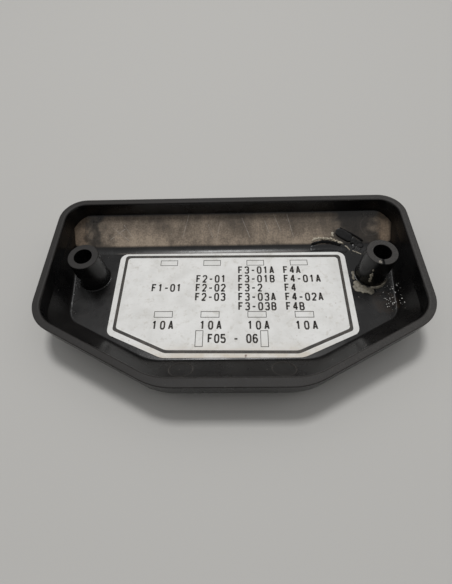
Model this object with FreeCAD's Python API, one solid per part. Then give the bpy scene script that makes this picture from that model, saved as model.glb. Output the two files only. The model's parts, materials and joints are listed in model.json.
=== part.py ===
import FreeCAD, Part
import math
import os

# Fuse box cover: one moulded tray with two screw bosses, lying on its outer face with its
# open side up, and a printed label stuck to the inside of its floor.
# Millimetres. X runs along the long side, +Y to the straight back edge, +Z out of the open side.
# The origin is in the middle of the outer face.

# Moulding, outside
cover_width = 118.5
cover_depth = 67.7
front_flat = 40.6
chamfer_angle = 27.5
back_corner_radius = 8.5
side_corner_radius = 11.5
front_corner_radius = 20.0

# Moulding, section
wall = 2.35
front_wall = 3.1
floor_thickness = 2.3
inside_height = 12.5
lip_height = 5.5
lip_draft_angle = 5.0
outer_break_drop = 1.2
back_run = 11.3
front_run = 9.1
chamfer_run = 6.1
side_run = 3.8
side_run_at_back = 0.4
outer_side_run_at_back = -0.6
cove_radius = 5.0
floor_fillet = 0.8
outer_fillet = 1.2
rim_outer_fillet = 0.3
rim_inner_fillet = 0.7
foot_radius_share = 0.55
outer_foot_shrink = 5.0
inner_foot_shrink = 6.0
outer_foot_back_radius = 3.0
inner_back_radius = 3.0

# Screw bosses
boss_spacing = 94.8
boss_y = 8.8
boss_top_radius = 4.85
boss_base_radius = 5.1
bore_radius = 2.9
seat_radius = 5.6
seat_depth = 0.8
boss_edge = 0.2
boss_sink = 0.5
boss_foot_fillet = 0.4

# Ejector pin marks
pin_radius = 3.5
pin_depth = 0.12
pin_floor_x = 49.8
pin_floor_y = -2.6
pin_back_x = 49.8
pin_back_share = 0.6
pin_front_x = 15.0
pin_front_share = 0.42

# Label
label_width = 79.7
label_top = 18.6
label_bottom = -21.0
label_bottom_flat = 43.4
label_chamfer_angle = 24.1
label_top_radius = 2.6
label_side_radius = 2.6
label_bottom_radius = 6.0
adhesive_inset = 0.3
adhesive_thickness = 0.06
film_thickness = 0.14
ink_thickness = 0.03
label_skew = -0.27

# Print on the label
print_skew = -0.66
border_half_width = 37.6
border_top = 17.1
border_bottom = -19.1
border_bottom_flat = 41.2
border_line = 1.0
border_radius = 1.2
border_front_radius = 4.0
column_pitch = 15.2
first_column = -22.25
outline_row_top = 14.3
outline_row_bottom = -6.2
outline_width = 6.1
outline_height = 2.3
outline_line = 0.2
upright_x = 10.2
upright_y = -14.7
upright_width = 2.5
upright_height = 5.6

# Old repair round the right boss
glue_width = 1.5
glue_height = 1.3
glue_hollow = 0.32
glue_overlap = 0.4
glue_start = 175.0
glue_sweep = 205.0

slope = math.tan(math.radians(chamfer_angle))
floor_z = floor_thickness
rim_z = floor_thickness + inside_height
break_z = rim_z - lip_height
break_rise = break_z - floor_z
outer_break_z = break_z - outer_break_drop
cut_margin = 1.0
tolerance = 0.01
# Back, front, chamfers, sides
walls = [wall, front_wall, wall, wall]
runs = [back_run, front_run, chamfer_run, side_run]


def rounded_outline(points, radii, z):
    """A closed wire through points at height z, each corner rounded by its radius."""
    edges = []
    corners = []
    count = len(points)
    for i in range(count):
        here = FreeCAD.Vector(points[i][0], points[i][1], z)
        before = FreeCAD.Vector(points[i - 1][0], points[i - 1][1], z)
        after = FreeCAD.Vector(points[(i + 1) % count][0], points[(i + 1) % count][1], z)
        back = (before - here).normalize()
        ahead = (after - here).normalize()
        half_angle = back.getAngle(ahead) / 2
        reach = radii[i] / math.tan(half_angle)
        inward = (back + ahead).normalize()
        middle = here + inward * (radii[i] / math.sin(half_angle) - radii[i])
        corners.append((here + back * reach, middle, here + ahead * reach))
    for i in range(count):
        start, middle, end = corners[i]
        edges.append(Part.Arc(start, middle, end).toShape())
        edges.append(Part.LineSegment(end, corners[(i + 1) % count][0]).toShape())
    return Part.Wire(edges)


def cover_points(back, front, chamfer, side, side_at_back):
    """Corners of the cover's six-sided outline, each edge moved inward by its own distance.

    The sides may be moved by another distance at their back ends, which turns them a little."""
    half = cover_width / 2 - side
    half_at_back = cover_width / 2 - side_at_back
    top = cover_depth / 2 - back
    bottom = -cover_depth / 2 + front
    drop = chamfer / math.cos(math.radians(chamfer_angle))
    line = -cover_depth / 2 - slope * front_flat / 2 + drop
    flat = (bottom - line) / slope
    shoulder = line + slope * half
    return [(-half_at_back, top), (-half, shoulder), (-flat, bottom),
            (flat, bottom), (half, shoulder), (half_at_back, top)]


def cover_outline(insets, shrink, z, side_at_back=None, back_radius=None):
    """The cover's outline moved inward, with its corner radii reduced by shrink.

    Insets are those of the back, front, chamfers and sides."""
    if side_at_back is None:
        side_at_back = insets[3]
    radii = [back_corner_radius, side_corner_radius, front_corner_radius]
    back, side, front = [max(radius - shrink, radius * foot_radius_share) for radius in radii]
    if back_radius is not None:
        back = back_radius
    return rounded_outline(cover_points(*insets, side_at_back), [back, side, front, front, side, back], z)


def prism(wire, height):
    return Part.Face(wire).extrude(FreeCAD.Vector(0, 0, height))


def foot_offset(run):
    """How far the outer foot of a sloping wall stands outside its inner foot."""
    return floor_thickness * math.tan(math.atan2(break_rise, run) / 2)


def outer_body():
    """The moulding without its cavity: a dish under a lip that widens towards the rim."""
    draft = (rim_z - outer_break_z) * math.tan(math.radians(lip_draft_angle))
    inward = [thickness + run - foot_offset(run) for thickness, run in zip(walls, runs)]
    foot = cover_outline(inward, outer_foot_shrink, 0, wall + outer_side_run_at_back, outer_foot_back_radius)
    shoulder = cover_outline([draft] * 4, draft, outer_break_z)
    rim = cover_outline([0] * 4, 0, rim_z)
    dish = Part.makeLoft([foot, shoulder], True, True)
    lip = Part.makeLoft([shoulder, rim], True, True)
    body = dish.fuse(lip).removeSplitter()
    bottom = [e for e in body.Edges if e.BoundBox.ZMax < tolerance]
    body = body.makeFillet(outer_fillet, bottom)
    top = [e for e in body.Edges if e.BoundBox.ZMin > rim_z - tolerance]
    return body.makeFillet(rim_outer_fillet, top)


def cavity():
    """The space inside: four kinds of slope round the floor, then an upright lip."""
    inward = [thickness + run for thickness, run in zip(walls, runs)]
    foot = cover_outline(inward, inner_foot_shrink, floor_z, wall + side_run_at_back, inner_back_radius)
    shoulder = cover_outline(walls, wall, break_z, wall, inner_back_radius)
    dish = Part.makeLoft([foot, shoulder], True, True)
    floor_edges = [e for e in dish.Edges if e.BoundBox.ZMax < floor_z + tolerance]
    dish = dish.makeFillet(floor_fillet, floor_edges)
    dish = dish.common(prism(cover_outline(walls, wall, floor_z), break_rise))
    band = prism(cover_outline(walls, wall, break_z), lip_height + cut_margin)
    return dish.fuse(band).removeSplitter().cut(back_cove())


def back_cove():
    """The rounded fill along the crease between the back slope and the floor."""
    angle = math.atan2(break_rise, back_run)
    crease_y = cover_depth / 2 - wall - back_run
    reach = cove_radius * math.tan(angle / 2)
    centre = FreeCAD.Vector(0, crease_y - reach, floor_z + cove_radius)
    on_floor = FreeCAD.Vector(0, crease_y - reach, floor_z)
    on_slope = FreeCAD.Vector(0, crease_y + reach * math.cos(angle), floor_z + reach * math.sin(angle))
    middle = centre + FreeCAD.Vector(0, math.sin(angle / 2), -math.cos(angle / 2)) * cove_radius
    arc = Part.Arc(on_floor, middle, on_slope).toShape()
    below_slope = on_slope + FreeCAD.Vector(0, 1, -1)
    below_floor = on_floor + FreeCAD.Vector(0, 0, -1)
    sides = Part.makePolygon([on_slope, below_slope, below_floor, on_floor])
    face = Part.Face(Part.Wire([arc] + sides.Edges))
    length = cover_width - 2 * wall - 2 * side_run
    strip = face.extrude(FreeCAD.Vector(length, 0, 0))
    strip.translate(FreeCAD.Vector(-length / 2, 0, 0))
    return strip


def boss(x):
    height = rim_z - floor_z + boss_sink
    post = Part.makeCone(boss_base_radius, boss_top_radius, height, FreeCAD.Vector(x, boss_y, floor_z - boss_sink))
    top = [e for e in post.Edges if e.BoundBox.ZMin > rim_z - tolerance]
    return post.makeFillet(boss_edge, top)


def boss_foot_edges(shell):
    """The circles where the bosses stand on the floor."""
    found = []
    for edge in shell.Edges:
        box = edge.BoundBox
        level = box.ZMin > floor_z - tolerance and box.ZMax < floor_z + tolerance
        beside = abs(abs(box.Center.x) - boss_spacing / 2) < tolerance + boss_edge
        across = abs(box.Center.y - boss_y) < tolerance + boss_edge
        if level and beside and across:
            found.append(edge)
    return found


def boss_bore(x):
    start = FreeCAD.Vector(x, boss_y, -cut_margin)
    through = Part.makeCylinder(bore_radius, rim_z + 2 * cut_margin, start)
    seat = Part.makeCylinder(seat_radius, seat_depth + cut_margin, start)
    return through.fuse(seat)


def pin_mark(x, y, z, tilt):
    """A shallow round cutter centred on the surface, turned about X by tilt degrees."""
    cutter = Part.makeCylinder(pin_radius, pin_depth + cut_margin, FreeCAD.Vector(0, 0, -pin_depth))
    cutter.rotate(FreeCAD.Vector(0, 0, 0), FreeCAD.Vector(1, 0, 0), tilt)
    cutter.translate(FreeCAD.Vector(x, y, z))
    return cutter


def pin_marks():
    marks = []
    back_tilt = math.degrees(math.atan2(break_rise, back_run))
    front_tilt = math.degrees(math.atan2(break_rise, front_run))
    back_middle = cover_depth / 2 - wall - back_run * (1 - pin_back_share)
    back_height = floor_z + break_rise * pin_back_share
    front_middle = -cover_depth / 2 + front_wall + front_run * (1 - pin_front_share)
    front_height = floor_z + break_rise * pin_front_share
    for side in (-1, 1):
        marks.append(pin_mark(side * pin_floor_x, pin_floor_y, floor_z, 0))
        marks.append(pin_mark(side * pin_back_x, back_middle, back_height, back_tilt))
        marks.append(pin_mark(side * pin_front_x, front_middle, front_height, -front_tilt))
    return marks


def rim_inner_edges(shell):
    """The edges between the flat of the rim and the inside of the lip."""
    flat = [f for f in shell.Faces if f.BoundBox.ZMin > rim_z - tolerance][0]
    inner = [w for w in flat.Wires if not w.isSame(flat.OuterWire)][0]
    return inner.Edges


def cover_shell():
    shell = outer_body().cut(cavity())
    shell = shell.makeFillet(rim_inner_fillet, rim_inner_edges(shell))
    for mark in pin_marks():
        shell = shell.cut(mark)
    for side in (-1, 1):
        shell = shell.fuse(boss(side * boss_spacing / 2))
    shell = shell.makeFillet(boss_foot_fillet, boss_foot_edges(shell))
    for side in (-1, 1):
        shell = shell.cut(boss_bore(side * boss_spacing / 2))
    return shell.removeSplitter()


def sheet_outline(half, top, bottom, flat, angle, radii, inset, z):
    """The label's six-sided outline, moved inward by inset."""
    lean = math.tan(math.radians(angle))
    line = bottom - lean * flat / 2 + inset / math.cos(math.radians(angle))
    half = half - inset
    top = top - inset
    bottom = bottom + inset
    shoulder = line + lean * half
    corner = (bottom - line) / lean
    points = [(-half, top), (-half, shoulder), (-corner, bottom)]
    points += [(corner, bottom), (half, shoulder), (half, top)]
    upper, side, lower = radii
    return rounded_outline(points, [upper, side, lower, lower, side, upper], z)


def turned(shape, degrees):
    shape.rotate(FreeCAD.Vector(0, 0, 0), FreeCAD.Vector(0, 0, 1), degrees)
    return shape


def label_sheet(inset, z, thickness):
    radii = (label_top_radius, label_side_radius, label_bottom_radius)
    wire = sheet_outline(label_width / 2, label_top, label_bottom, label_bottom_flat,
                         label_chamfer_angle, radii, inset, z)
    return turned(prism(wire, thickness), label_skew)


def ring(outer, inner, thickness):
    return prism(outer, thickness).cut(prism(inner, thickness))


def border_ring(z):
    radii = (border_radius, border_radius, border_front_radius)
    half_line = border_line / 2
    wires = []
    for inset in (-half_line, half_line):
        wires.append(sheet_outline(border_half_width, border_top, border_bottom, border_bottom_flat,
                                   label_chamfer_angle, radii, inset, z))
    return ring(wires[0], wires[1], ink_thickness)


def box_outline(x, y, width, height, z):
    points = [(x - width / 2, y - height / 2), (x + width / 2, y - height / 2),
              (x + width / 2, y + height / 2), (x - width / 2, y + height / 2)]
    return Part.makePolygon([FreeCAD.Vector(px, py, z) for px, py in points + points[:1]])


def box_ring(x, y, width, height, z):
    outer = box_outline(x, y, width, height, z)
    inner = box_outline(x, y, width - 2 * outline_line, height - 2 * outline_line, z)
    return ring(outer, inner, ink_thickness)


def label_ink(z):
    marks = [border_ring(z)]
    for column in range(4):
        x = first_column + column * column_pitch
        marks.append(box_ring(x, outline_row_top, outline_width, outline_height, z))
        marks.append(box_ring(x, outline_row_bottom, outline_width, outline_height, z))
    for side in (-1, 1):
        marks.append(box_ring(side * upright_x, upright_y, upright_width, upright_height, z))
    return turned(Part.makeCompound(marks), print_skew)


def repair_glue(shell):
    """A hollow-faced bead of glue round the foot of the right boss."""
    inner = FreeCAD.Vector(boss_base_radius - glue_overlap, 0, floor_z)
    top = inner + FreeCAD.Vector(0, 0, glue_height)
    outer = FreeCAD.Vector(boss_base_radius + glue_width, 0, floor_z)
    middle = FreeCAD.Vector(boss_base_radius + glue_width * glue_hollow, 0, floor_z + glue_height * glue_hollow)
    face = Part.Face(Part.Wire([
        Part.LineSegment(inner, top).toShape(),
        Part.Arc(top, middle, outer).toShape(),
        Part.LineSegment(outer, inner).toShape()]))
    face.rotate(FreeCAD.Vector(0, 0, 0), FreeCAD.Vector(0, 0, 1), glue_start)
    bead = face.revolve(FreeCAD.Vector(0, 0, 0), FreeCAD.Vector(0, 0, 1), glue_sweep)
    bead.translate(FreeCAD.Vector(boss_spacing / 2, boss_y, 0))
    return bead.cut(shell)


def main():
    os.makedirs("parts", exist_ok=True)
    film_z = floor_z + adhesive_thickness
    ink_z = film_z + film_thickness
    shell = cover_shell()
    parts = {
        "cover_shell": shell,
        "label_adhesive": label_sheet(adhesive_inset, floor_z, adhesive_thickness),
        "label_film": label_sheet(0, film_z, film_thickness),
        "label_ink": label_ink(ink_z),
        "repair_glue": repair_glue(shell),
    }
    for name, shape in parts.items():
        box = shape.optimalBoundingBox()
        print(name, shape.isValid(), len(shape.Solids), "volume %.1f" % shape.Volume,
              "X %.2f %.2f" % (box.XMin, box.XMax), "Y %.2f %.2f" % (box.YMin, box.YMax),
              "Z %.2f %.2f" % (box.ZMin, box.ZMax))
        shape.exportStep("parts/" + name + ".step")


main()
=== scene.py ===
import json
import math
from collections import namedtuple

import bmesh
import bpy
from mathutils import Matrix, Vector, noise


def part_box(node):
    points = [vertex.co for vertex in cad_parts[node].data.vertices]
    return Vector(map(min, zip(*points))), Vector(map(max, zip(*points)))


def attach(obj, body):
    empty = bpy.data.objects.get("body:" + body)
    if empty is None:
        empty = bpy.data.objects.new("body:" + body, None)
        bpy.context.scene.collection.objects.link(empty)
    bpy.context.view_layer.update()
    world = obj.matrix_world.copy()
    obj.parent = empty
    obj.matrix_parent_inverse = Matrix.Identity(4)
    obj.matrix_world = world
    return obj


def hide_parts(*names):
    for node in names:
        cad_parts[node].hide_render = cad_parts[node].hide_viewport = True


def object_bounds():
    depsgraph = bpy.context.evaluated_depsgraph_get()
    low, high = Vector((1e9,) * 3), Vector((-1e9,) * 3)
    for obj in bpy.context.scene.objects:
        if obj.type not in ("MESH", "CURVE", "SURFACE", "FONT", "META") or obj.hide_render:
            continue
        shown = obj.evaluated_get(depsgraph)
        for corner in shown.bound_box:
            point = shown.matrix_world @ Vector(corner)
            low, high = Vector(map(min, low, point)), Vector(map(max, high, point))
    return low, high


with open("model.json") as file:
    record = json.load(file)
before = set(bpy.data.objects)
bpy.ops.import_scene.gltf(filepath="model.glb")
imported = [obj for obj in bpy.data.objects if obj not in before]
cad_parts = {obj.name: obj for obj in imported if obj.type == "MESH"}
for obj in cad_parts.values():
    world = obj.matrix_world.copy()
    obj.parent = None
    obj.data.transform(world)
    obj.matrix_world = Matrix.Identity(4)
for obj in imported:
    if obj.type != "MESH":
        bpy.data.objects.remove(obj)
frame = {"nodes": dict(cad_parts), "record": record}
cad_low, cad_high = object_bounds()

MM = 0.001

# Camera, as it looks down into the tray from the front
CAMERA_AZIMUTH = -2.77
CAMERA_ELEVATION = 58.6
CAMERA_ROLL = 3.11
CAMERA_DISTANCE = 107.6
CAMERA_AIM = (-1.6, -5.2)
CAMERA_LENS = 22.4
SENSOR_WIDTH = 36.0
CAMERA_NEAR = 1.0

# The tray inside, in millimetres
WALL = 2.35
BACK_RUN = 11.3
SIDE_RUN = 3.8
LIP_HEIGHT = 5.5
COVE_RADIUS = 5.0
PIN_RADIUS = 3.5
PIN_FLOOR = (49.8, -2.6)
PIN_BACK_X = 49.8
PIN_BACK_SHARE = 0.6
PIN_FRONT = (15.0, -25.47)
PIN_FRONT_SHARE = 0.42

# Screw bosses
MOUNTS = {mount["name"]: mount for mount in frame["record"]["mounts"]}
BOSS_X = MOUNTS["right_screw_bore"]["pos_m"][0] / MM
BOSS_Y = MOUNTS["right_screw_bore"]["pos_m"][1] / MM
BOSS_RADIUS_TOP = 4.85
BOSS_RADIUS_FOOT = 5.1

# Heights and edges that follow from the frame
RIM_Z = cad_high.z / MM
FLOOR_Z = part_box("label_adhesive")[0].z / MM
FILM_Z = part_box("label_film")[1].z / MM
INK_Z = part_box("label_ink")[1].z / MM
LABEL_LOW_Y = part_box("label_film")[0].y / MM
BREAK_Z = RIM_Z - LIP_HEIGHT
BREAK_Y = cad_high.y / MM - WALL
CREASE_Y = BREAK_Y - BACK_RUN
SLOPE_ANGLE = math.atan2(BREAK_Z - FLOOR_Z, BACK_RUN)
COVE_REACH = COVE_RADIUS * math.tan(SLOPE_ANGLE / 2)
SIDE_FOOT_X = 53.4

# Print on the label
PRINT_SKEW = -0.66
LETTER_WIDTH = 1.15
LETTER_CORNER = 0.14
CORNER_STEPS = 3
LETTER_HEIGHT = 2.6
LETTER_STROKE = 0.54
LETTER_SINK = 0.01
ROW_TOP = 12.75
ROW_PITCH = 3.6
RATING_TOP = -8.5
SPARE_TOP = -13.1

GLYPHS = {
    "0": [[(0, 0.2), (0, 0.8), (0.25, 1), (0.75, 1), (1, 0.8), (1, 0.2), (0.75, 0), (0.25, 0), (0, 0.2)]],
    "1": [[(0.15, 0.78), (0.6, 1.03)], [(0.55, 1.08), (0.55, 0)]],
    "2": [[(0, 0.78), (0.2, 1), (0.8, 1), (1, 0.8), (1, 0.62), (0.05, 0)], [(-0.15, 0), (1, 0)]],
    "3": [[(0, 0.85), (0.2, 1), (0.8, 1), (1, 0.85), (1, 0.65), (0.8, 0.52), (0.4, 0.52)],
          [(0.8, 0.52), (1, 0.38), (1, 0.16), (0.8, 0), (0.2, 0), (0, 0.15)]],
    "4": [[(0.75, 0), (0.75, 1.08)], [(0.7, 1.02), (0, 0.33)], [(-0.1, 0.3), (1.15, 0.3)]],
    "5": [[(1, 1), (-0.1, 1)],
          [(0.02, 1.05), (0, 0.55), (0.75, 0.58), (1, 0.42), (1, 0.2), (0.8, 0), (0.2, 0), (0, 0.15)]],
    "6": [[(0.95, 0.85), (0.75, 1), (0.25, 1), (0, 0.8), (0, 0.2), (0.25, 0), (0.75, 0), (1, 0.2),
           (1, 0.4), (0.75, 0.57), (0.25, 0.57), (0, 0.42)]],
    "A": [[(0, 0), (0.5, 1.08)], [(0.5, 1.08), (1, 0)], [(0.17, 0.28), (0.83, 0.28)]],
    "B": [[(0, 0), (0, 1), (0.7, 1), (0.95, 0.87), (0.95, 0.65), (0.7, 0.53), (0, 0.53)],
          [(0.7, 0.53), (1, 0.38), (1, 0.16), (0.75, 0), (0, 0)]],
    "F": [[(1, 1), (-0.18, 1)], [(0, 1.08), (0, 0)], [(0, 0.53), (0.8, 0.53)]],
    "-": [[(0.1, 0.45), (0.9, 0.45)]],
    " ": [],
}

# Each column of codes: left edge, letter pitch, first row, rows
CODE_COLUMNS = [
    (-27.3, 2.1, 2, ["F1-01"]),
    (-12.3, 2.12, 1, ["F2-01", "F2-02", "F2-03"]),
    (2.1, 2.16, 0, ["F3-01A", "F3-01B", "F3-2", "F3-03A", "F3-03B"]),
    (17.7, 2.16, 0, ["F4A", "F4-01A", "F4", "F4-02A", "F4B"]),
]
RATING_LEFTS = [-25.6, -10.2, 5.0, 20.2]
RATING_PITCH = 2.65
SPARE_LEFT = -7.5
SPARE_PITCH = 2.0


# Beads of glue and melted plastic: how far they sink into their surface, and how finely they are cut
BEAD_SINK = 0.06
BEAD_SPAN_STEPS = 14
BEAD_SIDES = 11
BEAD_TIP = 0.04


# ---------------------------------------------------------------- nodes

def fill(tree, socket, value):
    if isinstance(value, bpy.types.NodeSocket):
        tree.links.new(value, socket)
    else:
        socket.default_value = value


def add(tree, kind, inputs=None, **settings):
    """A node with its settings made and its sockets filled with values or links."""
    made = tree.nodes.new(kind)
    for name, value in settings.items():
        setattr(made, name, value)
    for name, value in (inputs or {}).items():
        fill(tree, made.inputs[name], value)
    return made


def calc(tree, operation, *values):
    made = add(tree, "ShaderNodeMath", operation=operation)
    for socket, value in zip(made.inputs, values):
        fill(tree, socket, value)
    return made.outputs[0]


def times(tree, *values):
    """The product of several values."""
    product = values[0]
    for value in values[1:]:
        product = calc(tree, "MULTIPLY", product, value)
    return product


def step(tree, value, low, high, start=0.0, end=1.0):
    """A smooth step from start to end as value goes from low to high."""
    made = add(tree, "ShaderNodeMapRange", {"Value": value, "From Min": low, "From Max": high,
                                            "To Min": start, "To Max": end}, interpolation_type="SMOOTHSTEP")
    return made.outputs["Result"]


def band(tree, value, low, high, soft):
    """One between low and high, fading to zero over soft on each side."""
    rise = step(tree, value, low - soft, low + soft)
    fall = step(tree, value, high - soft, high + soft, 1, 0)
    return times(tree, rise, fall)


def vector(tree, operation, first, second):
    return add(tree, "ShaderNodeVectorMath", {0: first, 1: second}, operation=operation).outputs


def mix(tree, factor, first, second):
    """A colour between first and second. Its sockets go by number, as their names repeat."""
    made = add(tree, "ShaderNodeMix", data_type="RGBA")
    fill(tree, made.inputs[0], factor)
    fill(tree, made.inputs[6], first)
    fill(tree, made.inputs[7], second)
    return made.outputs[2]


def colour(red, green, blue):
    return (red, green, blue, 1)


def new_group(name, kind, inputs, outputs):
    """A node group with its sockets, and its input and output nodes."""
    tree = bpy.data.node_groups.new(name, kind)
    for label, socket, default in inputs:
        made = tree.interface.new_socket(label, in_out="INPUT", socket_type=socket)
        if default is not None:
            made.default_value = default
    for label, socket in outputs:
        tree.interface.new_socket(label, in_out="OUTPUT", socket_type=socket)
    return tree, tree.nodes.new("NodeGroupInput").outputs, tree.nodes.new("NodeGroupOutput").inputs


def blotch_group():
    """Soft cloudy patches."""
    tree, given, out = new_group(
        "blotches", "ShaderNodeTree",
        [("Vector", "NodeSocketVector", None), ("Scale", "NodeSocketFloat", 0.2),
         ("Low", "NodeSocketFloat", 0.45), ("High", "NodeSocketFloat", 0.7)],
        [("Mask", "NodeSocketFloat")])
    cloud = add(tree, "ShaderNodeTexNoise", {"Vector": given["Vector"], "Scale": given["Scale"],
                                             "Detail": 5.0, "Roughness": 0.6})
    fill(tree, out["Mask"], step(tree, cloud.outputs["Fac"], given["Low"], given["High"]))
    return tree


def speck_group():
    """Small scattered round specks of uneven size."""
    tree, given, out = new_group(
        "specks", "ShaderNodeTree",
        [("Vector", "NodeSocketVector", None), ("Scale", "NodeSocketFloat", 1.0),
         ("Size", "NodeSocketFloat", 0.2), ("Share", "NodeSocketFloat", 0.3)],
        [("Mask", "NodeSocketFloat")])
    cells = add(tree, "ShaderNodeTexVoronoi", {"Vector": given["Vector"], "Scale": given["Scale"]})
    lucky = add(tree, "ShaderNodeSeparateColor", {"Color": cells.outputs["Color"]})
    chosen = calc(tree, "LESS_THAN", lucky.outputs[0], given["Share"])
    reach = times(tree, given["Size"], lucky.outputs[1])
    near = calc(tree, "LESS_THAN", cells.outputs["Distance"], reach)
    fill(tree, out["Mask"], times(tree, chosen, near))
    return tree


def scratch_group():
    """A thin line from Start to End as seen from above, broken up along its length."""
    tree, given, out = new_group(
        "scratch", "ShaderNodeTree",
        [("Vector", "NodeSocketVector", None), ("Start", "NodeSocketVector", None),
         ("End", "NodeSocketVector", None), ("Width", "NodeSocketFloat", 0.1)],
        [("Mask", "NodeSocketFloat")])
    flat = vector(tree, "MULTIPLY", given["Vector"], (1, 1, 0))[0]
    along = vector(tree, "SUBTRACT", given["End"], given["Start"])[0]
    away = vector(tree, "SUBTRACT", flat, given["Start"])[0]
    reached = vector(tree, "DOT_PRODUCT", away, along)["Value"]
    span = vector(tree, "DOT_PRODUCT", along, along)["Value"]
    share = add(tree, "ShaderNodeClamp", {"Value": calc(tree, "DIVIDE", reached, span)}).outputs[0]
    foot = add(tree, "ShaderNodeVectorMath", {0: along, "Scale": share}, operation="SCALE").outputs[0]
    gap = vector(tree, "DISTANCE", away, foot)["Value"]
    line = step(tree, gap, 0.0, given["Width"], 1, 0)
    cloud = add(tree, "ShaderNodeTexNoise", {"Vector": given["Vector"], "Scale": 0.9, "Detail": 2.0})
    broken = step(tree, cloud.outputs["Fac"], 0.38, 0.55, 0.35, 1)
    fill(tree, out["Mask"], times(tree, line, broken))
    return tree


RING_FADE = (-0.25, 0.1)


def ring_group():
    """A thin circle of a given radius as seen from above, with its inside."""
    tree, given, out = new_group(
        "ring", "ShaderNodeTree",
        [("Vector", "NodeSocketVector", None), ("Centre", "NodeSocketVector", None),
         ("Radius", "NodeSocketFloat", 3.5), ("Width", "NodeSocketFloat", 0.2)],
        [("Line", "NodeSocketFloat"), ("Inside", "NodeSocketFloat")])
    away = vector(tree, "DISTANCE", given["Vector"], given["Centre"])["Value"]
    gap = calc(tree, "SUBTRACT", away, given["Radius"])
    fill(tree, out["Line"], step(tree, calc(tree, "ABSOLUTE", gap), 0.0, given["Width"], 1, 0))
    fill(tree, out["Inside"], step(tree, gap, *RING_FADE, 1, 0))
    return tree


def grain_group():
    """The fine pebbled height of a moulded or printed surface."""
    tree, given, out = new_group(
        "grain", "ShaderNodeTree",
        [("Vector", "NodeSocketVector", None), ("Scale", "NodeSocketFloat", 4.0)],
        [("Height", "NodeSocketFloat")])
    place = given["Vector"]
    broad_scale = times(tree, given["Scale"], 0.12)
    fine = add(tree, "ShaderNodeTexNoise", {"Vector": place, "Scale": given["Scale"], "Detail": 4.0})
    broad = add(tree, "ShaderNodeTexNoise", {"Vector": place, "Scale": broad_scale, "Detail": 2.0})
    height = calc(tree, "ADD", fine.outputs["Fac"], times(tree, broad.outputs["Fac"], 1.5))
    fill(tree, out["Height"], height)
    return tree


BLOTCHES = blotch_group()
SPECKS = speck_group()
SCRATCH = scratch_group()
RING = ring_group()
GRAIN = grain_group()


def use(tree, group, place, output="Mask", **inputs):
    """One output of a shader group, laid over the places given."""
    made = tree.nodes.new("ShaderNodeGroup")
    made.node_tree = group
    for name, value in {"Vector": place, **inputs}.items():
        fill(tree, made.inputs[name], value)
    return made.outputs[output]


def stretched(tree, place, factors):
    """Places squeezed by a factor on each axis, which draws a pattern out along it."""
    return vector(tree, "MULTIPLY", place, factors)[0]


def new_material(name, roughness=0.5, specular=0.5):
    """A material, with its tree, its shader and the object's coordinates in millimetres."""
    material = bpy.data.materials.new(name)
    material.use_nodes = True
    tree = material.node_tree
    shader = tree.nodes["Principled BSDF"]
    shader.inputs["Roughness"].default_value = roughness
    shader.inputs["Specular IOR Level"].default_value = specular
    local = add(tree, "ShaderNodeTexCoord").outputs["Object"]
    place = add(tree, "ShaderNodeVectorMath", {0: local, "Scale": 1 / MM}, operation="SCALE").outputs[0]
    return material, tree, shader, place


def add_bump(tree, shader, height, distance, strength=1.0):
    made = add(tree, "ShaderNodeBump", {"Height": height, "Distance": distance * MM, "Strength": strength})
    tree.links.new(made.outputs[0], shader.inputs["Normal"])


# ---------------------------------------------------------------- finishes

BLACK = colour(0.0042, 0.0042, 0.0046)
BLACK_CLOUD = colour(0.0095, 0.0089, 0.0086)
BLACK_ROUGHNESS = (0.25, 0.36)
BLACK_SPECULAR = 0.35
# Specular of the dull near-black that paints shadow, on the boss crack and beside the melted patches
PAINTED_SHADOW_SPECULAR = 0.1
# Near black painted as the shade inside the crack on the right boss's end
CRACK_SHADE_BLACK = colour(0.001, 0.001, 0.001)
PALE_SPILL = colour(0.4, 0.36, 0.3)

# Dust on the back slope: its ends, its greyer stretches at both ends, its brown tips and its tones
DUST_ENDS = (-57.3, 56.4)
DUST_GREY_ENDS = (45.5, 52.0)
DUST_GREY_RIGHT = (38.0, 51.0)
DUST_BROWN_FROM = (51.0, 53.5)
DUST_DARK = colour(0.305, 0.244, 0.188)
DUST_PALE = colour(0.405, 0.326, 0.248)
DUST_BROWN = colour(0.24, 0.165, 0.105)
DUST_ROUGHNESS = 0.75
DUST_SCRATCH = colour(0.42, 0.38, 0.34)
SCRATCH_WIDTH = 0.17
SLOPE_SCRATCHES = [
    ((-15.3, 31.2), (-17.6, 24.3)),
    ((-8.3, 28.0), (-6.7, 24.2)),
    ((-4.1, 28.3), (-5.4, 23.0)),
    ((3.9, 29.9), (6.7, 24.0)),
    ((12.1, 28.9), (13.6, 25.4)),
    ((15.3, 30.9), (17.9, 25.6)),
    ((20.1, 30.8), (22.4, 23.8)),
    ((-42.8, 27.4), (-37.2, 23.6)),
    ((-39.0, 28.4), (-35.6, 24.2)),
    ((-44.0, 24.0), (-38.6, 27.2)),
]

# Painted highlight in front of the crease, film of dust, brown haze by the right boss, and motes
CREASE_HIGHLIGHT_ACROSS = (18.95, 19.35)
CREASE_HIGHLIGHT_ENDS = (-41, 27)
CREASE_HIGHLIGHT_STRENGTH = 0.42
CREASE_HIGHLIGHT_TONE = colour(0.2, 0.17, 0.15)
HAZE_TONE = colour(0.2, 0.18, 0.16)
HAZE_STRENGTH = 0.02
HAZE_FADE = (-24, -16)
BROWN_SPOT = (50.0, -2.5, FLOOR_Z)
BROWN_REACH = 4.5
BROWN_TONE = colour(0.026, 0.017, 0.011)
MOTE_TONE = colour(0.35, 0.32, 0.28)

# Worn rim and boss ends, paler towards the right
WORN_TONES = (colour(0.013, 0.0113, 0.0102), colour(0.028, 0.025, 0.0228))
RIM_TONES_PALER_RIGHT = (colour(0.03, 0.0275, 0.025), colour(0.06, 0.056, 0.052))
WORN_ROUGHNESS = 0.66
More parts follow.
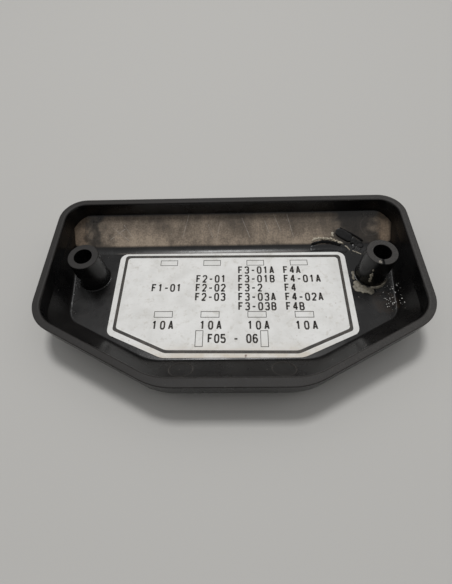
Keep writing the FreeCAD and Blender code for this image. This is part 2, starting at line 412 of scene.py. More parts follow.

# Edges of the ejector pin marks, pale with dust and painted highlight, and the crack on the right boss's
# end, painted as shade in its gap
PIN_EDGE_DUST_AND_HIGHLIGHT_TONE = colour(0.1, 0.09, 0.08)
PIN_EDGE_WIDTH = 0.28
CRACK_ON_RING = ((46.95, 6.1), (46.75, 3.9))
CRACK_WIDTH = 0.6
SPILL_SPOT = (45.9, 5.0, RIM_Z)
SPILL_RADIUS = 0.55

# A material's surface as its marks see it: places in millimetres, and one where it faces up
Surface = namedtuple("Surface", "place x y z open_side")


def black_plastic(name, dust_and_painted_light, specular=BLACK_SPECULAR):
    """Semi-gloss black moulding. The tray's switch adds the dust, wear and marks of the tray itself, with
    its painted highlights and painted shade.
    """
    material, tree, shader, place = new_material(name, specular=specular)
    cloud = use(tree, BLOTCHES, place, Scale=0.09, Low=0.35, High=0.75)
    tone = mix(tree, cloud, BLACK, BLACK_CLOUD)
    rough = step(tree, cloud, 0, 1, *BLACK_ROUGHNESS)
    # Adds dust and wear, and also painted highlights and painted shade.
    if dust_and_painted_light:
        tone, rough = add_tray_marks(tree, place, tone, rough)
    tree.links.new(tone, shader.inputs["Base Color"])
    tree.links.new(rough, shader.inputs["Roughness"])
    add_bump(tree, shader, use(tree, GRAIN, place, Scale=5.0, output="Height"), 0.012)
    return material


def upward(tree):
    """How far the surface faces up."""
    surface = add(tree, "ShaderNodeTexCoord")
    parts = add(tree, "ShaderNodeSeparateXYZ", {0: surface.outputs["Normal"]})
    return parts.outputs["Z"]


def add_tray_marks(tree, place, tone, rough):
    axes = add(tree, "ShaderNodeSeparateXYZ", {0: place})
    at = Surface(place, *axes.outputs, step(tree, upward(tree), 0.2, 0.5))
    on_slope = back_slope(tree, at)
    rub = use(tree, BLOTCHES, place, Scale=3.2, Low=0.3, High=0.7)
    tone, rough = lay_dust_and_lip_shade(tree, at, on_slope, tone, rough)
    # Painted highlight: a pale line in front of the crease.
    tone = paint_crease_highlight(tree, at, tone)
    tone = haze_floor(tree, at, tone)
    tone, rough = wear_rim(tree, at, rub, tone, rough)
    tone = ring_pin_marks(tree, at, tone)
    tone = scratch_slope(tree, at, on_slope, tone)
    return crack_boss(tree, at, rub, tone, rough)


def back_slope(tree, at):
    """One on the part of the back slope that is dusty."""
    across = band(tree, at.y, CREASE_Y + 1.6, BREAK_Y - 0.35, 0.5)
    below_lip = step(tree, at.z, BREAK_Z, BREAK_Z + 0.4, 1, 0)
    return times(tree, across, at.open_side, below_lip, band(tree, at.x, *DUST_ENDS, 0.7))


def lay_dust_and_lip_shade(tree, at, on_slope, tone, rough):
    """Dust, thicker towards the crease, in streaks down the slope, with greyer and browner ends. Its
    thinning towards the top is partly painted shade from the back lip.
    """
    streak_place = stretched(tree, at.place, (1, 0.18, 0.18))
    streaks = use(tree, BLOTCHES, streak_place, Scale=0.42, Low=0.25, High=0.75)
    patches = use(tree, BLOTCHES, at.place, Scale=0.075, Low=0.3, High=0.66)
    fine = use(tree, BLOTCHES, at.place, Scale=1.9, Low=0.3, High=0.7)
    wander = add(tree, "ShaderNodeTexNoise", {"Vector": at.place, "Scale": 0.2, "Detail": 2.0})
    drift = step(tree, wander.outputs["Fac"], 0.25, 0.75, -3, 3)
    distance_out = calc(tree, "ABSOLUTE", at.x)
    grey_ends = band(tree, calc(tree, "ADD", distance_out, drift), *DUST_GREY_ENDS, 4.0)
    grey_right = band(tree, calc(tree, "ADD", at.x, drift), *DUST_GREY_RIGHT, 3.5)
    greyer = calc(tree, "MAXIMUM", grey_ends, grey_right)
    outer_end = step(tree, distance_out, *DUST_BROWN_FROM)
    dust_and_lip_shade = times(
        tree,
        # Thinner towards the top: partly painted shade from the back lip.
        step(tree, at.y, CREASE_Y + 1, BREAK_Y, 0.98, 0.5),
        step(tree, streaks, 0, 1, 0.8, 1.1),
        step(tree, patches, 0, 1, 0.68, 1.1),
        step(tree, fine, 0, 1, 0.75, 1.15),
        step(tree, greyer, 0, 1, 1, 0.12),
        step(tree, outer_end, 0, 1, 1, 0.8),
        on_slope)
    dust_tone = mix(tree, patches, DUST_DARK, DUST_PALE)
    dust_tone = mix(tree, times(tree, outer_end, 0.7), dust_tone, DUST_BROWN)
    return mix(tree, dust_and_lip_shade, tone, dust_tone), step(tree, dust_and_lip_shade, 0, 0.5, rough, DUST_ROUGHNESS)


def paint_crease_highlight(tree, at, tone):
    """A painted highlight: the pale line in front of the crease, at the foot of the cove."""
    low_down = step(tree, at.z, FLOOR_Z + 1, FLOOR_Z + 1.5, 1, 0)
    line = times(tree, band(tree, at.y, *CREASE_HIGHLIGHT_ACROSS, 0.25), band(tree, at.x, *CREASE_HIGHLIGHT_ENDS, 2),
                 low_down, at.open_side, CREASE_HIGHLIGHT_STRENGTH)
    return mix(tree, line, tone, CREASE_HIGHLIGHT_TONE)


def haze_floor(tree, at, tone):
    """A thin film of dust on all that faces up, a brown haze by the right boss, and a few motes."""
    cloud = use(tree, BLOTCHES, at.place, Scale=0.06, Low=0.35, High=0.7)
    haze = times(tree, step(tree, cloud, 0, 1, 0.25, 1.0), at.open_side,
                 step(tree, at.y, *HAZE_FADE, 0.3, 1), HAZE_STRENGTH)
    tone = mix(tree, haze, tone, HAZE_TONE)
    near = use(tree, RING, at.place, Centre=BROWN_SPOT, Radius=BROWN_REACH, output="Inside")
    brown = times(tree, near, use(tree, BLOTCHES, at.place, Scale=0.35, Low=0.35, High=0.7), 0.7)
    tone = mix(tree, brown, tone, BROWN_TONE)
    mote = use(tree, SPECKS, at.place, Scale=1.1, Size=0.24, Share=0.05)
    return mix(tree, times(tree, mote, at.open_side, 0.35), tone, MOTE_TONE)


def wear_rim(tree, at, rub, tone, rough):
    worn = times(tree, step(tree, at.z, RIM_Z - 0.55, RIM_Z - 0.1), step(tree, rub, 0, 1, 0.6, 1))
    worn_tone = mix(tree, rub, *WORN_TONES)
    # Tones grow paler towards the right.
    worn_tone = mix(tree, step(tree, at.x, -5, 50, 0, 0.85), worn_tone, mix(tree, rub, *RIM_TONES_PALER_RIGHT))
    return mix(tree, worn, tone, worn_tone), step(tree, worn, 0, 1, rough, WORN_ROUGHNESS)


def ring_pin_marks(tree, at, tone):
    """Pale edges of the ejector pin marks on the floor, the back slope and the front slope, partly dust and
    partly painted highlight.
    """
    rise = BREAK_Z - FLOOR_Z
    back_y = CREASE_Y + BACK_RUN * PIN_BACK_SHARE
    pins = [
        (*PIN_FLOOR, FLOOR_Z, 0.08),
        (PIN_BACK_X, back_y, FLOOR_Z + rise * PIN_BACK_SHARE, 0.3),
        (*PIN_FRONT, FLOOR_Z + rise * PIN_FRONT_SHARE, 0.4),
    ]
    for side in (-1, 1):
        for x, y, z, strength in pins:
            edge = use(tree, RING, at.place, "Line", Centre=(side * x, y, z), Radius=PIN_RADIUS,
                       Width=PIN_EDGE_WIDTH)
            # Pale ring: partly dust, partly painted highlight on the mark's edge.
            tone = mix(tree, times(tree, edge, strength), tone, PIN_EDGE_DUST_AND_HIGHLIGHT_TONE)
    return tone


def scratch_slope(tree, at, on_slope, tone):
    for start, end in SLOPE_SCRATCHES:
        mark = use(tree, SCRATCH, at.place, Start=(*start, 0), End=(*end, 0), Width=SCRATCH_WIDTH)
        tone = mix(tree, times(tree, mark, on_slope, 0.75), tone, DUST_SCRATCH)
    return tone


def crack_boss(tree, at, rub, tone, rough):
    """The crack across the right boss's end, painted near black as the shade in its gap, with a little pale
    residue beside it.
    """
    start, end = CRACK_ON_RING
    line = use(tree, SCRATCH, at.place, Start=(*start, 0), End=(*end, 0), Width=CRACK_WIDTH)
    crack = times(tree, line, step(tree, at.z, RIM_Z - 0.6, RIM_Z - 0.3))
    # Painted shade: the crack's gap drawn near black.
    tone = mix(tree, calc(tree, "MINIMUM", times(tree, crack, 3), 1), tone, CRACK_SHADE_BLACK)
    spill = use(tree, RING, at.place, Centre=SPILL_SPOT, Radius=SPILL_RADIUS, output="Inside")
    return mix(tree, times(tree, spill, rub), tone, PALE_SPILL), step(tree, crack, 0, 0.5, rough, 1.0)


# The label, its ink and adhesive, and the grit in the old glue
LABEL_CLEAN = colour(0.83, 0.825, 0.805)
LABEL_GREY = colour(0.70, 0.692, 0.665)
LABEL_SMUDGE = colour(0.55, 0.52, 0.46)
LABEL_FRECKLE = colour(0.3, 0.24, 0.18)
LABEL_SOIL = colour(0.66, 0.60, 0.51)
LABEL_STAIN = colour(0.12, 0.05, 0.035)
SOIL_FROM_Y = -15.0
STAIN_START = (4.1, -20.3, 0)
STAIN_END = (4.1, -20.9, 0)
STAIN_WIDTH = 0.55
INK_DARK = colour(0.03, 0.028, 0.026)
INK_BROWN = colour(0.075, 0.064, 0.054)
INK_RUBBED = colour(0.3, 0.28, 0.25)
ADHESIVE_PALE = colour(0.42, 0.35, 0.25)
ADHESIVE_DARK = colour(0.2, 0.15, 0.1)
GLUE_GRIT = colour(0.06, 0.05, 0.035)


def label_white():
    """Satin film with grey-brown mottling, dirtier towards its front margin, and one stain there."""
    material, tree, shader, place = new_material("label_white", 0.6, 0.35)
    axes = add(tree, "ShaderNodeSeparateXYZ", {0: place})
    mottle = use(tree, BLOTCHES, place, Scale=0.16, Low=0.3, High=0.8)
    smudge = use(tree, BLOTCHES, place, Scale=0.6, Low=0.52, High=0.74)
    freckle = use(tree, SPECKS, place, Scale=0.8, Size=0.2, Share=0.1)
    soil = use(tree, BLOTCHES, stretched(tree, place, (0.5, 1, 1)), Scale=0.5, Low=0.3, High=0.7)
    frontward = step(tree, axes.outputs["Y"], SOIL_FROM_Y, LABEL_LOW_Y)
    soil = times(tree, frontward, step(tree, soil, 0, 1, 0.35, 0.9))
    stain = use(tree, SCRATCH, place, Start=STAIN_START, End=STAIN_END, Width=STAIN_WIDTH)
    tone = mix(tree, mottle, LABEL_CLEAN, LABEL_GREY)
    tone = mix(tree, times(tree, smudge, 0.5), tone, LABEL_SMUDGE)
    tone = mix(tree, times(tree, freckle, 0.35), tone, LABEL_FRECKLE)
    tone = mix(tree, soil, tone, LABEL_SOIL)
    tone = mix(tree, stain, tone, LABEL_STAIN)
    tree.links.new(tone, shader.inputs["Base Color"])
    tree.links.new(step(tree, smudge, 0, 1, 0.58, 0.68), shader.inputs["Roughness"])
    add_bump(tree, shader, use(tree, GRAIN, place, Scale=2.5, output="Height"), 0.008)
    return material


def black_ink(name, rubbed):
    """Flat ink, browner and thinner where it is rubbed."""
    material, tree, shader, place = new_material(name, 0.55, 0.3)
    patchy = use(tree, BLOTCHES, place, Scale=0.35, Low=0.3, High=0.75)
    fine = use(tree, BLOTCHES, place, Scale=3.0, Low=0.5, High=0.8)
    tone = mix(tree, patchy, INK_DARK, INK_BROWN)
    tone = mix(tree, times(tree, fine, rubbed), tone, INK_RUBBED)
    tree.links.new(tone, shader.inputs["Base Color"])
    add_bump(tree, shader, use(tree, GRAIN, place, Scale=4.0, output="Height"), 0.004)
    return material


def clear_adhesive():
    material, tree, shader, place = new_material("yellowed_adhesive", 0.35)
    patchy = use(tree, BLOTCHES, place, Scale=0.5, Low=0.3, High=0.7)
    tone = mix(tree, patchy, ADHESIVE_PALE, ADHESIVE_DARK)
    tree.links.new(tone, shader.inputs["Base Color"])
    add_bump(tree, shader, use(tree, GRAIN, place, Scale=3.0, output="Height"), 0.01)
    return material


def old_glue(name, pale, dark, roughness=0.4):
    """Hardened glue, uneven in colour and gloss."""
    material, tree, shader, place = new_material(name, roughness)
    cloud = use(tree, BLOTCHES, place, Scale=0.8, Low=0.32, High=0.66)
    grit = use(tree, BLOTCHES, place, Scale=3.5, Low=0.5, High=0.7)
    tone = mix(tree, cloud, colour(*dark), colour(*pale))
    tone = mix(tree, times(tree, grit, 0.45), tone, GLUE_GRIT)
    tree.links.new(tone, shader.inputs["Base Color"])
    tree.links.new(step(tree, cloud, 0, 1, roughness, roughness + 0.25), shader.inputs["Roughness"])
    add_bump(tree, shader, use(tree, GRAIN, place, Scale=2.0, output="Height"), 0.05)
    return material


# ---------------------------------------------------------------- shapes

def tray_height(y):
    """Height of the tray's inside on the floor, the cove or the back slope, which depends on y alone."""
    start = CREASE_Y - COVE_REACH
    end = CREASE_Y + COVE_REACH * math.cos(SLOPE_ANGLE)
    if y <= start:
        return FLOOR_Z
    if y < end:
        return FLOOR_Z + COVE_RADIUS - math.sqrt(COVE_RADIUS ** 2 - (y - start) ** 2)
    return FLOOR_Z + (y - CREASE_Y) * math.tan(SLOPE_ANGLE)


def on_tray(u, v, lift):
    return Vector((u, v, tray_height(v) + lift))


def on_boss(u, v, lift):
    """u runs round the right boss in millimetres of arc, v is the height."""
    share = (v - FLOOR_Z) / (RIM_Z - FLOOR_Z)
    radius = BOSS_RADIUS_FOOT + (BOSS_RADIUS_TOP - BOSS_RADIUS_FOOT) * share + lift
    angle = u / BOSS_RADIUS_FOOT
    return Vector((BOSS_X + radius * math.cos(angle), BOSS_Y + radius * math.sin(angle), v))


def smooth_path(points, per_span):
    """Points along a smooth curve through the given points."""
    spots = [Vector(p) for p in points]
    spots = [2 * spots[0] - spots[1]] + spots + [2 * spots[-1] - spots[-2]]
    path = []
    for i in range(1, len(spots) - 2):
        a, b, c, d = spots[i - 1:i + 3]
        for k in range(per_span):
            t = k / per_span
            path.append(0.5 * (2 * b + (c - a) * t + (2 * a - 5 * b + 4 * c - d) * t * t
                               + (3 * b - a - 3 * c + d) * t ** 3))
    path.append(spots[-2])
    return path


def add_piece(name, mesh, material, replaced=()):
    """Links a finished mesh as a piece of the cover."""
    piece = bpy.data.objects.new(name, mesh)
    bpy.context.scene.collection.objects.link(piece)
    mesh.materials.clear()
    mesh.materials.append(material)
    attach(piece, "root")
    if replaced:
        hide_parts(*replaced)
    return piece


# A bead follows its path over a surface. Its section is a dome, flatter on top for a higher
# squareness. Lump is how far its width and height wander, as a share of them, and lump_scale how
# quickly they do so.
Bead = namedtuple("Bead", "path half_width height surface squareness lump lump_scale seed")


def bead_row(mesh, bead, spot, across, taper):
    """The vertices of one section of a bead."""
    row = []
    for k in range(BEAD_SIDES):
        share = 2 * k / (BEAD_SIDES - 1) - 1
        sideways = Vector((spot.x * bead.lump_scale + share, spot.y * bead.lump_scale, bead.seed))
        upwards = Vector((spot.x * 1.7, spot.y * 1.7, bead.seed + share * 2))
        wide = bead.half_width * taper * (1 + bead.lump * 1.3 * noise.noise(sideways))
        tall = bead.height * taper * (1 + bead.lump * noise.noise(upwards))
        dome = (1 - abs(share) ** bead.squareness) ** (1 / bead.squareness)
        at = spot + across * (share * wide)
        row.append(mesh.verts.new(bead.surface(at.x, at.y, tall * dome - BEAD_SINK) * MM))
    row.append(mesh.verts.new(bead.surface(spot.x, spot.y, -2 * BEAD_SINK) * MM))
    return row


def bead_mesh(bead):
    """A closed bead with rounded ends."""
    path = smooth_path(bead.path, BEAD_SPAN_STEPS)
    lengths = [0.0]
    for a, b in zip(path, path[1:]):
        lengths.append(lengths[-1] + (b - a).length)
    total = lengths[-1]
    end = min(bead.half_width * 1.1, total / 2.2)
    mesh = bmesh.new()
    rows = []
    for i, spot in enumerate(path):
        ahead = path[min(i + 1, len(path) - 1)] - path[max(i - 1, 0)]
        across = Vector((-ahead.y, ahead.x)).normalized()
        near_end = min(lengths[i], total - lengths[i])
        taper = math.sqrt(max(0.0, 1 - max(0.0, 1 - near_end / end) ** 2))
        rows.append(bead_row(mesh, bead, spot, across, max(taper, BEAD_TIP)))
    for first, second in zip(rows, rows[1:]):
        for k in range(len(first)):
            nxt = (k + 1) % len(first)
            mesh.faces.new((first[k], first[nxt], second[nxt], second[k]))
    mesh.faces.new(rows[0])
    mesh.faces.new(list(reversed(rows[-1])))
    bmesh.ops.recalc_face_normals(mesh, faces=mesh.faces)
    data = bpy.data.meshes.new("bead")
    mesh.to_mesh(data)
    mesh.free()
    return data


def round_boss(start, end, radius, count):
    """Points on an arc about the right boss, from start to end degrees; radius may change along it."""
    points = []
    for i in range(count):
        share = i / (count - 1)
        angle = math.radians(start + (end - start) * share)
        reach = radius[0] + (radius[1] - radius[0]) * share
        points.append((BOSS_X + reach * math.cos(angle), BOSS_Y + reach * math.sin(angle)))
    return points


def boss_point(degrees, height):
    return (math.radians(degrees) * BOSS_RADIUS_FOOT, height)


def add_beads(name, beads, material, replaced=()):
    """One piece made of several beads."""
    joined = bmesh.new()
    for bead in beads:
        part = bead_mesh(bead)
        joined.from_mesh(part)
        bpy.data.meshes.remove(part)
    data = bpy.data.meshes.new(name)
    joined.to_mesh(data)
    joined.free()
    for face in data.polygons:
        face.use_smooth = True
    return add_piece(name, data, material, replaced)


def add_boss_glue(grey_glue):
    """Lumpy glue round the foot of the right boss."""
    foot = [
        Bead(round_boss(204, 270, (6.5, 7.0), 6), 1.35, 0.34, on_tray, 3.0, 0.55, 0.7, 1),
        Bead(round_boss(214, 244, (7.9, 8.2), 5), 0.8, 0.24, on_tray, 3.0, 0.6, 0.8, 2),
        Bead(round_boss(250, 332, (5.75, 5.4), 6), 0.4, 0.36, on_tray, 2.0, 0.5, 1.2, 4),
        Bead(round_boss(328, 378, (5.3, 5.25), 6), 0.2, 0.3, on_tray, 2.0, 0.5, 1.2, 5),
        Bead(round_boss(166, 200, (5.7, 6.3), 5), 0.5, 0.24, on_tray, 2.5, 0.6, 1.0, 6),
    ]
    add_beads("boss_glue", foot, grey_glue, ["repair_glue"])


def add_crack_glue(pale_glue):
    """Pale residue against the boss, at its foot and beside its crack."""
    upper = [boss_point(239, 11.2), boss_point(239.5, 10.7), boss_point(240, 10.3)]
    lower = [boss_point(241, 9.4), boss_point(243, 8.0), boss_point(245, 6.6), boss_point(247, 4.6)]
    pale = [
        Bead(round_boss(258, 318, (5.4, 5.25), 6), 0.24, 0.5, on_tray, 2.0, 0.5, 1.6, 7),
        Bead(upper, 0.3, 0.16, on_boss, 2.0, 0.8, 1.6, 9),
        Bead(lower, 0.42, 0.2, on_boss, 2.0, 1.0, 1.5, 11),
    ]
    add_beads("crack_glue", pale, pale_glue)


def add_boss_crack(painted_shadow):
    """The crack down the front of the right boss: a dark bead that paints the shade in its gap."""
    path = [boss_point(261, RIM_Z - 0.3), boss_point(257, 13.6), boss_point(250, 12.6),
            boss_point(241, 11.2)]
    add_beads("boss_crack", [Bead(path, 0.14, 0.1, on_boss, 3.0, 0.3, 1.0, 13)], painted_shadow)


def add_melted_pad(melted):
    """The upper melted patch on the back slope."""
    pad = [
        Bead([(37.4, 25.5), (40.4, 24.2), (43.4, 22.7)], 1.55, 0.3, on_tray, 7.0, 0.12, 0.5, 12),
        Bead([(42.6, 22.6), (44.6, 21.8), (47.2, 20.4)], 1.2, 0.26, on_tray, 4.0, 0.4, 0.8, 14),
    ]
    add_beads("melted_pad", pad, melted)


def add_melted_strip(melted):
    """The long melted strip along the crease, with a lump after its end."""
    long_part = [(27.9, 19.9), (31.5, 20.3), (36.5, 20.2), (41.5, 18.9)]
    lump = [(43.0, 20.9), (44.6, 20.3), (46.4, 19.4)]
    strip = [
        Bead(long_part, 1.15, 0.22, on_tray, 6.0, 0.12, 0.6, 15),
        Bead(lump, 0.8, 0.2, on_tray, 2.0, 0.6, 1.2, 16),
    ]
    add_beads("melted_strip", strip, melted)


def add_patch_shadow_edges(painted_shadow):
    """Dark beads along the upper edges of the melted patches: painted shadow of their thickness."""
    by_strip = [(28.6, 21.3), (31.0, 22.1), (35.0, 22.1), (39.4, 21.2)]
    by_pad = [(38.8, 26.4), (41.4, 25.2), (44.4, 23.8), (47.2, 22.2)]
    grooves = [
        Bead(by_strip, 0.5, 0.26, on_tray, 3.0, 0.4, 1.0, 17),
        Bead(by_pad, 0.3, 0.3, on_tray, 3.0, 0.3, 1.0, 18),
    ]
    add_beads("patch_shadow_edges", grooves, painted_shadow)


def add_patch_glue(pale_glue):
    """Ragged pale glue round the melted patches."""
    between = [(28.7, 22.3), (30.2, 23.1), (32.5, 23.2), (35.2, 23.0), (37.6, 22.4), (40.2, 21.4)]
    ragged = [
        Bead(between, 0.36, 0.42, on_tray, 2.0, 1.1, 2.2, 21),
        Bead([(40.6, 20.9), (41.6, 20.1), (42.3, 19.2)], 0.16, 0.3, on_tray, 2.0, 0.9, 2.4, 23),
        Bead([(43.0, 18.9), (44.4, 18.3), (46.0, 17.3)], 0.17, 0.25, on_tray, 2.0, 1.0, 2.4, 26),
        Bead([(36.4, 25.2), (36.2, 24.5), (36.6, 23.7)], 0.42, 0.3, on_tray, 2.0, 0.9, 2.0, 29),
    ]
    add_beads("patch_glue", ragged, pale_glue)


def add_repair():
    """The old repair: glue round the right boss and two melted patches behind it."""
    grey_glue = old_glue("grey_glue", (0.28, 0.255, 0.2), (0.13, 0.115, 0.088))
    pale_glue = old_glue("pale_glue", (0.62, 0.57, 0.47), (0.36, 0.31, 0.23), 0.35)
    # Dull near-black for painted shadow: the boss crack and the dark edges of the patches.
    painted_shadow = black_plastic("painted_shadow_black", False, PAINTED_SHADOW_SPECULAR)
    melted = black_plastic("melted_black", False)
    add_boss_glue(grey_glue)
    add_crack_glue(pale_glue)
    add_boss_crack(painted_shadow)
    add_melted_pad(melted)
    add_melted_strip(melted)
    add_patch_shadow_edges(painted_shadow)
    add_patch_glue(pale_glue)


# ---------------------------------------------------------------- geometry nodes

def geometry_group(name, inputs):
    return new_group(name, "GeometryNodeTree", [("Geometry", "NodeSocketGeometry", None)] + inputs,
                     [("Geometry", "NodeSocketGeometry")])


def finish_nodes(tree, geometry, material, target):
    """Ends a geometry group: real geometry in its material."""
    real = add(tree, "GeometryNodeRealizeInstances", {"Geometry": geometry})
    dressed = add(tree, "GeometryNodeSetMaterial", {"Geometry": real.outputs[0], "Material": material})
    fill(tree, target, dressed.outputs[0])


def run_nodes(name, mesh, group, values):
    """The plain mesh that a geometry group makes from a mesh."""
    source = bpy.data.objects.new(name + "_source", mesh)
    bpy.context.scene.collection.objects.link(source)
    modifier = source.modifiers.new("nodes", "NODES")
    modifier.node_group = group
    keys = {item.name: item.identifier for item in group.interface.items_tree
            if item.item_type == "SOCKET" and item.in_out == "INPUT"}
    for label, value in values.items():
        modifier[keys[label]] = value
    graph = bpy.context.evaluated_depsgraph_get()
    made = bpy.data.meshes.new_from_object(source.evaluated_get(graph))
    bpy.data.objects.remove(source)
    made.name = name
    return made


def lettering_group():
    """Turns each run of edges into a flat printed stroke."""
    tree, given, out = geometry_group("printed_strokes", [
        ("Width", "NodeSocketFloat", 0.4 * MM), ("Thickness", "NodeSocketFloat", 0.03 * MM),
        ("Corner", "NodeSocketFloat", 0.3 * MM), ("Material", "NodeSocketMaterial", None)])
    curve = add(tree, "GeometryNodeMeshToCurve", {"Mesh": given["Geometry"]})
    soft = add(tree, "GeometryNodeFilletCurve",
               {"Curve": curve.outputs[0], "Radius": given["Corner"], "Count": CORNER_STEPS}, mode="POLY")
    level = add(tree, "GeometryNodeSetCurveNormal", {"Curve": soft.outputs[0]}, mode="Z_UP")
    section = add(tree, "GeometryNodeCurvePrimitiveQuadrilateral",
                  {"Width": given["Width"], "Height": given["Thickness"]})
    swept = add(tree, "GeometryNodeCurveToMesh",
                {"Curve": level.outputs[0], "Profile Curve": section.outputs[0], "Fill Caps": True})
    finish_nodes(tree, swept.outputs[0], given["Material"], out["Geometry"])
    return tree


def letter_strokes():
    """Every stroke of the print, as lists of points in millimetres before the print's skew."""
    lines = []
    for left, pitch, first, rows in CODE_COLUMNS:
        for number, text in enumerate(rows):
            lines.append((text, left, ROW_TOP - ROW_PITCH * (first + number), pitch))
    for left in RATING_LEFTS:
        lines.append(("10A", left, RATING_TOP, RATING_PITCH))
    lines.append(("F05 - 06", SPARE_LEFT, SPARE_TOP, SPARE_PITCH))
    strokes = []
    for text, left, top, pitch in lines:
        for place, letter in enumerate(text):
            x = left + place * pitch + LETTER_STROKE / 2
            y = top - LETTER_STROKE / 2 - LETTER_HEIGHT
            for stroke in GLYPHS[letter]:
                strokes.append([(x + px * LETTER_WIDTH, y + py * LETTER_HEIGHT) for px, py in stroke])
    return strokes


def add_lettering(ink):
    turn = Matrix.Rotation(math.radians(PRINT_SKEW), 3, "Z")
    middle_z = (FILM_Z + INK_Z - LETTER_SINK) / 2
    verts = []
    edges = []
    for stroke in letter_strokes():
        first = len(verts)
        verts += [(turn @ Vector((x, y, middle_z))) * MM for x, y in stroke]
        edges += [(first + i, first + i + 1) for i in range(len(stroke) - 1)]
    mesh = bpy.data.meshes.new("letter_paths")
    mesh.from_pydata(verts, edges, [])
    values = {"Width": LETTER_STROKE * MM, "Thickness": (INK_Z - FILM_Z + LETTER_SINK) * MM,
              "Corner": LETTER_CORNER * MM, "Material": ink}
    made = run_nodes("label_lettering", mesh, lettering_group(), values)
    add_piece("label_lettering", made, ink)


def crumb_group():
    """Small uneven crumbs scattered over a surface."""
    tree, given, out = geometry_group("crumbs", [
        ("Density", "NodeSocketFloat", 1000.0), ("Smallest", "NodeSocketFloat", 0.3),
        ("Largest", "NodeSocketFloat", 1.0), ("Radius", "NodeSocketFloat", 0.2 * MM),
        ("Seed", "NodeSocketInt", 0), ("Material", "NodeSocketMaterial", None)])
    spots = add(tree, "GeometryNodeDistributePointsOnFaces",
                {"Mesh": given["Geometry"], "Density": given["Density"], "Seed": given["Seed"]})
    ball = add(tree, "GeometryNodeMeshIcoSphere", {"Radius": given["Radius"], "Subdivisions": 2})
    size = add(tree, "FunctionNodeRandomValue", data_type="FLOAT_VECTOR")
    smallest = given["Smallest"]
    largest = given["Largest"]
    low = add(tree, "ShaderNodeCombineXYZ", {0: smallest, 1: smallest, 2: smallest})
    high = add(tree, "ShaderNodeCombineXYZ", {0: largest, 1: largest, 2: smallest})
    fill(tree, size.inputs[0], low.outputs[0])
    fill(tree, size.inputs[1], high.outputs[0])
    fill(tree, size.inputs["Seed"], given["Seed"])
    placed = add(tree, "GeometryNodeInstanceOnPoints",
                 {"Points": spots.outputs["Points"], "Instance": ball.outputs[0],
                  "Rotation": spots.outputs["Rotation"], "Scale": size.outputs[0]})
    finish_nodes(tree, placed.outputs[0], given["Material"], out["Geometry"])
    return tree


CRUMB_CORNERS = [(49.8, -4.5), (54.9, -4.5), (54.9, 3.6), (49.8, 3.6)]
CRUMB_RADIUS = 0.12


def add_crumbs():
    """Crumbs of glue on the floor and the foot of the end slope, right of the boss."""
    pale = old_glue("crumb_glue", (0.72, 0.71, 0.68), (0.36, 0.35, 0.33), 0.3)
    ground = bpy.data.meshes.new("crumb_ground")
    ground.from_pydata([Vector((x, y, side_height(x))) * MM for x, y in CRUMB_CORNERS], [], [(0, 1, 2, 3)])
    values = {"Density": 1.0e6, "Smallest": 0.3, "Largest": 1.7, "Radius": CRUMB_RADIUS * MM,
              "Seed": 8, "Material": pale}
    add_piece("glue_crumbs", run_nodes("glue_crumbs", ground, crumb_group(), values), pale)


def side_height(x):
    """Height of the tray's inside across the right foot of the floor."""
    rise = (BREAK_Z - FLOOR_Z) / SIDE_RUN
    return FLOOR_Z + max(0.0, (x - SIDE_FOOT_X) * rise)


# ---------------------------------------------------------------- scene

TABLE_HALF = 3.0
TABLE_TONE = colour(0.54, 0.531, 0.509)
TABLE_ROUGHNESS = 0.7

# Sky: how bright it is from low to high, front to back, left to right, and in a soft gap
SKY_STRENGTH = 0.58
SKY_UPWARD = (0.25, 0.9, 0.15, 1.5)
SKY_BACKWARD = (-0.7, 0.2, 0.3, 1.12)
SKY_RIGHTWARD = (-0.8, 0.8, 0.85, 1.1)
SOFT_GAP = (0.0, 0.5, 0.866)
SOFT_GAP_FADE = (0.72, 0.95, 1, 0.58)
KEY_PLACE = (-0.03, 0.33, 0.94)
KEY_SIZE = (0.2, 0.16)
KEY_ENERGY = 4.4


def add_camera():
    """A camera aimed at the rim plane, turned by azimuth, elevation and roll."""
    azimuth = math.radians(CAMERA_AZIMUTH)
    elevation = math.radians(CAMERA_ELEVATION)
    roll = math.radians(CAMERA_ROLL)
    level = math.cos(elevation)
    forward = Vector((math.sin(azimuth) * level, math.cos(azimuth) * level, -math.sin(elevation)))
    side = Vector((math.cos(azimuth), -math.sin(azimuth), 0))
    down = forward.cross(side)
    right = side * math.cos(roll) + down * math.sin(roll)
    up = side * math.sin(roll) - down * math.cos(roll)
    aim = Vector((*CAMERA_AIM, RIM_Z)) * MM
    data = bpy.data.cameras.new("camera")
    data.lens = CAMERA_LENS
    data.sensor_width = SENSOR_WIDTH
    data.clip_start = CAMERA_NEAR * MM
    camera = bpy.data.objects.new("camera", data)
    bpy.context.scene.collection.objects.link(camera)
    turn = Matrix((right, up, -forward)).transposed().to_4x4()
    camera.matrix_world = Matrix.Translation(aim - forward * CAMERA_DISTANCE * MM) @ turn
    bpy.context.scene.camera = camera


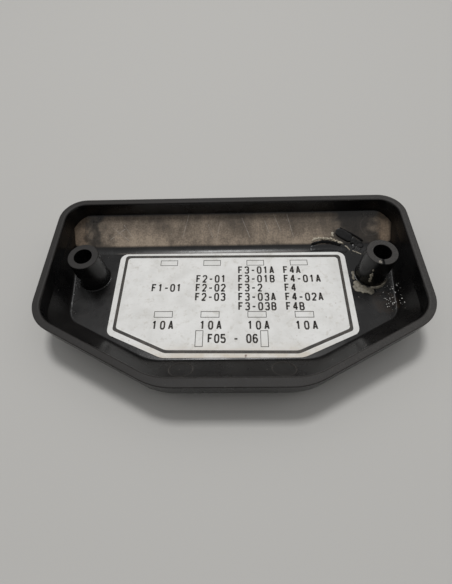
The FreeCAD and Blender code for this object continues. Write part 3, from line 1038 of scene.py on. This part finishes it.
def add_table():
    mesh = bpy.data.meshes.new("table")
    corners = [(x * TABLE_HALF, y * TABLE_HALF, 0) for x, y in ((-1, -1), (1, -1), (1, 1), (-1, 1))]
    mesh.from_pydata(corners, [], [(0, 1, 2, 3)])
    table = bpy.data.objects.new("table", mesh)
    bpy.context.scene.collection.objects.link(table)
    table.location.z = cad_low.z
    material = bpy.data.materials.new("table_top")
    material.use_nodes = True
    shader = material.node_tree.nodes["Principled BSDF"]
    shader.inputs["Base Color"].default_value = TABLE_TONE
    shader.inputs["Roughness"].default_value = TABLE_ROUGHNESS
    mesh.materials.append(material)


def add_sky():
    """Soft studio surround, bright overhead and behind, dim near the horizon and in front."""
    world = bpy.data.worlds.new("studio")
    world.use_nodes = True
    tree = world.node_tree
    background = tree.nodes["Background"]
    direction = add(tree, "ShaderNodeTexCoord").outputs["Generated"]
    x, y, z = add(tree, "ShaderNodeSeparateXYZ", {0: direction}).outputs
    toward_gap = vector(tree, "DOT_PRODUCT", direction, SOFT_GAP)["Value"]
    level = times(tree, step(tree, z, *SKY_UPWARD), step(tree, y, *SKY_BACKWARD),
                  step(tree, x, *SKY_RIGHTWARD), step(tree, toward_gap, *SOFT_GAP_FADE))
    shade = add(tree, "ShaderNodeCombineColor", {0: level, 1: level, 2: level})
    tree.links.new(shade.outputs[0], background.inputs["Color"])
    background.inputs["Strength"].default_value = SKY_STRENGTH
    bpy.context.scene.world = world


def add_lamp(name, place, size, energy):
    """A flat lamp aimed at the middle of the frame."""
    data = bpy.data.lights.new(name, "AREA")
    data.shape = "RECTANGLE"
    data.size, data.size_y = size
    data.energy = energy
    lamp = bpy.data.objects.new(name, data)
    lamp.location = place
    lamp.rotation_euler = (-Vector(place)).to_track_quat("-Z", "Y").to_euler()
    bpy.context.scene.collection.objects.link(lamp)


def dress_frame():
    """Gives every CAD node that stays its finish."""
    ink = black_ink("label_ink_print", 0.25)
    looks = {
        "cover_shell": black_plastic("moulded_black", True),
        "label_adhesive": clear_adhesive(),
        "label_film": label_white(),
        "label_ink": ink,
    }
    for name, material in looks.items():
        mesh = frame["nodes"][name].data
        mesh.materials.clear()
        mesh.materials.append(material)
    return ink


add_camera()
add_table()
add_sky()
add_lamp("key", KEY_PLACE, KEY_SIZE, KEY_ENERGY)
bpy.context.scene.view_settings.view_transform = "Standard"
print_ink = dress_frame()
add_lettering(print_ink)
add_repair()
add_crumbs()
